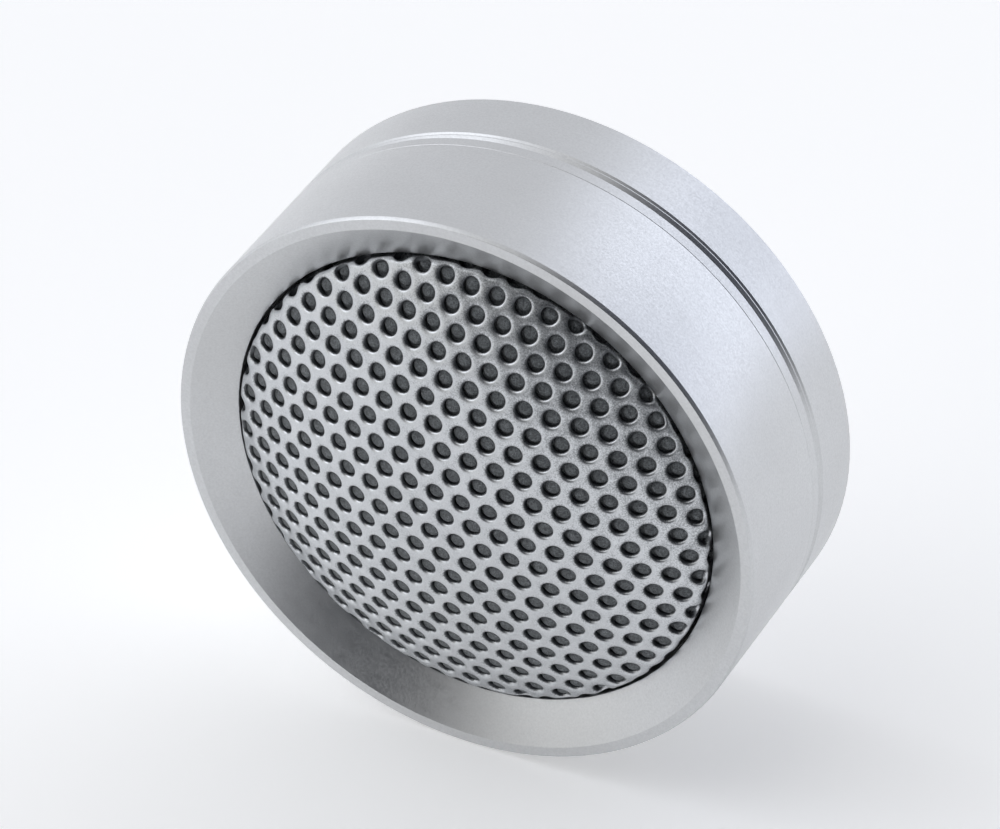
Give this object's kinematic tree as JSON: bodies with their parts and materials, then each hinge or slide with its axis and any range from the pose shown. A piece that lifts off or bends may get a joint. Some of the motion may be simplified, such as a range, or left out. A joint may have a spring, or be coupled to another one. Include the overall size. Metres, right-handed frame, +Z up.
{
  "type": "car tweeter",
  "caption": "Round car tweeter with a turned metal housing, a domed perforated grille over a soft-dome driver, and a twist-on head on a screw-down rear cup.",
  "frame": {"origin": "centre of the flat back face of the rear cup, on the axis of the cable outlet", "axes": "+Y along the tweeter's axis, out of the back face; the listener is on the -Y side; +Z up"},
  "size_m": [0.055, 0.0239, 0.055],
  "materials": {
    "shell_metal": "bead-blasted and clear anodised, satin",
    "grille_metal": "satin silver lacquer, thinner on the side of the rolled hole lips away from the spray",
    "felt": "dark charcoal felt",
    "black_plastic": "fine moulded grain",
    "black_rubber": "matt",
    "gasket_foam": "closed-cell foam",
    "plated_steel": "zinc plated",
    "screw_steel": "zinc plated",
    "magnet_nickel": "nickel plated",
    "silk": "doped silk",
    "former_foil": "thin foil",
    "copper_wire": "enamelled copper",
    "fibre_board": "pressed fibre board",
    "terminal_brass": "bright"
  },
  "bodies": {
    "cup": {"rear_cup": "shell_metal", "back_gasket": "gasket_foam", "cable_grommet": "black_rubber"},
    "head": {"front_bezel": "shell_metal", "body_ring": "shell_metal", "bayonet_ring": "black_plastic", "bayonet_screws": "screw_steel", "seal_ring": "black_rubber", "grille_mesh": "grille_metal", "grille_cloth": "felt", "grille_seat": "black_plastic", "driver_faceplate": "black_plastic", "faceplate_screws": "screw_steel", "driver_gasket": "black_rubber", "yoke": "plated_steel", "magnet": "magnet_nickel", "pole_piece": "plated_steel", "damping_pad": "felt", "surround": "black_rubber", "terminal_board": "fibre_board", "terminal_positive": "terminal_brass", "terminal_negative": "terminal_brass", "tinsel_leads": "copper_wire"},
    "diaphragm": {"dome_diaphragm": "silk", "voice_coil_former": "former_foil", "voice_coil": "copper_wire"}
  },
  "joints": [
    {"name": "head_twist", "type": "hinge", "parent": "cup", "child": "head", "pos_m": [0, 0, 0], "axis": [0, 1, 0], "range_deg": [0, 30]},
    {"name": "diaphragm_travel", "type": "slide", "parent": "head", "child": "diaphragm", "axis": [0, -1, 0], "range_m": [-0.0004, 0.0004], "stiffness_N_per_m": 50}
  ]
}
